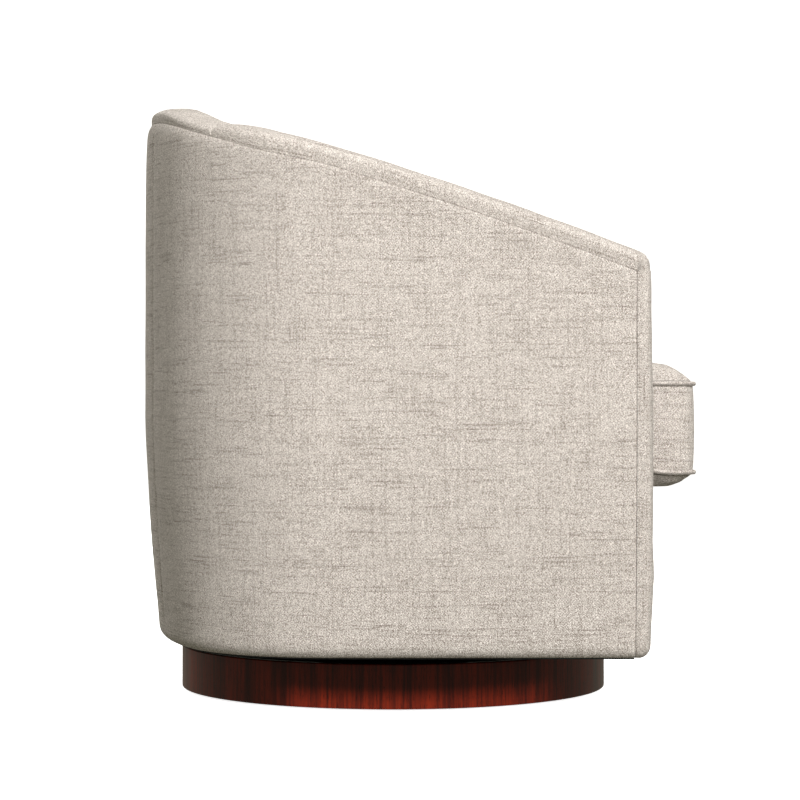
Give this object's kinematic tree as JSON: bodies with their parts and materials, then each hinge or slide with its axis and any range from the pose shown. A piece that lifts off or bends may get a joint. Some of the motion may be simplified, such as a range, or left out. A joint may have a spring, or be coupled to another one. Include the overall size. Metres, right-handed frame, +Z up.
{
  "type": "swivel barrel chair",
  "caption": "Upholstered barrel armchair with slanted arms and a loose seat cushion, turning on a round wooden plinth.",
  "frame": {"origin": "centre of the chair's floor rectangle, at floor level; the swivel axis lies 23.5 mm behind it", "axes": "+Z up, -Y the way the chair faces, +X on the right of a viewer who stands in front of it; nodes named left lie at -X"},
  "size_m": [0.75, 0.73, 0.79],
  "materials": {
    "linen": "matte",
    "piping": "matte",
    "foam": "matte",
    "cambric": "matte",
    "frame_wood": "matte",
    "board": "matte",
    "plinth_veneer": "gloss",
    "steel": "satin",
    "nylon": "matte"
  },
  "bodies": {
    "plinth": {"plinth_band": "plinth_veneer", "plinth_top_board": "board", "plinth_bottom_board": "board", "floor_glide_1": "nylon", "floor_glide_2": "nylon", "floor_glide_3": "nylon", "floor_glide_4": "nylon", "swivel_lower_plate": "steel", "lower_plate_screw_1": "steel", "lower_plate_screw_2": "steel", "lower_plate_screw_3": "steel", "lower_plate_screw_4": "steel", "king_bolt": "steel", "king_nut": "steel"},
    "ball_ring": {"ball_cage": "steel"},
    "tub": {"swivel_upper_plate": "steel", "upper_plate_screw_1": "steel", "upper_plate_screw_2": "steel", "upper_plate_screw_3": "steel", "upper_plate_screw_4": "steel", "bottom_rail_left": "frame_wood", "top_rail_left": "frame_wood", "front_post_left": "frame_wood", "rear_post_left": "frame_wood", "bottom_rail_right": "frame_wood", "top_rail_right": "frame_wood", "front_post_right": "frame_wood", "rear_post_right": "frame_wood", "swivel_batten_front": "frame_wood", "swivel_batten_back": "frame_wood", "bottom_rail_back": "frame_wood", "top_rail_back": "frame_wood", "bottom_rail_front": "frame_wood", "seat_rail_front": "frame_wood", "seat_rail_back": "frame_wood", "deck_spring_1": "steel", "deck_spring_2": "steel", "deck_spring_3": "steel", "deck_spring_4": "steel", "deck_spring_5": "steel", "deck_pad": "linen", "front_border": "linen", "dust_cover": "cambric", "outside_cover_left": "linen", "arm_foam_left": "foam", "inside_cover_left": "linen", "arm_band_left": "linen", "outside_cover_right": "linen", "arm_foam_right": "foam", "inside_cover_right": "linen", "arm_band_right": "linen", "outside_cover_back": "linen", "back_foam": "foam", "inside_cover_back": "linen", "back_band": "linen"},
    "seat_cushion": {"cushion_cover": "linen", "cushion_core": "foam", "cushion_welt_upper": "piping", "cushion_welt_lower": "piping"},
    "zip_pull": {"zip_slider": "steel"}
  },
  "joints": [
    {"name": "swivel", "type": "hinge", "parent": "plinth", "child": "tub", "pos_m": [0, 0.0235, 0.068], "axis": [0, 0, 1], "continuous": true},
    {"name": "ball_roll", "type": "hinge", "parent": "plinth", "child": "ball_ring", "pos_m": [0, 0.0235, 0.068], "axis": [0, 0, 1], "continuous": true},
    {"name": "cushion_lift", "type": "slide", "parent": "tub", "child": "seat_cushion", "axis": [0, 0, 1], "range_m": [0, 0.55]},
    {"name": "zip_slide", "type": "hinge", "parent": "seat_cushion", "child": "zip_pull", "pos_m": [0, -0.2386, 0.3645], "axis": [0, 0, -1], "range_deg": [0, 30]}
  ],
  "couplings": [
    {"joint": "ball_roll", "follows": "swivel", "ratio": 0.5}
  ]
}
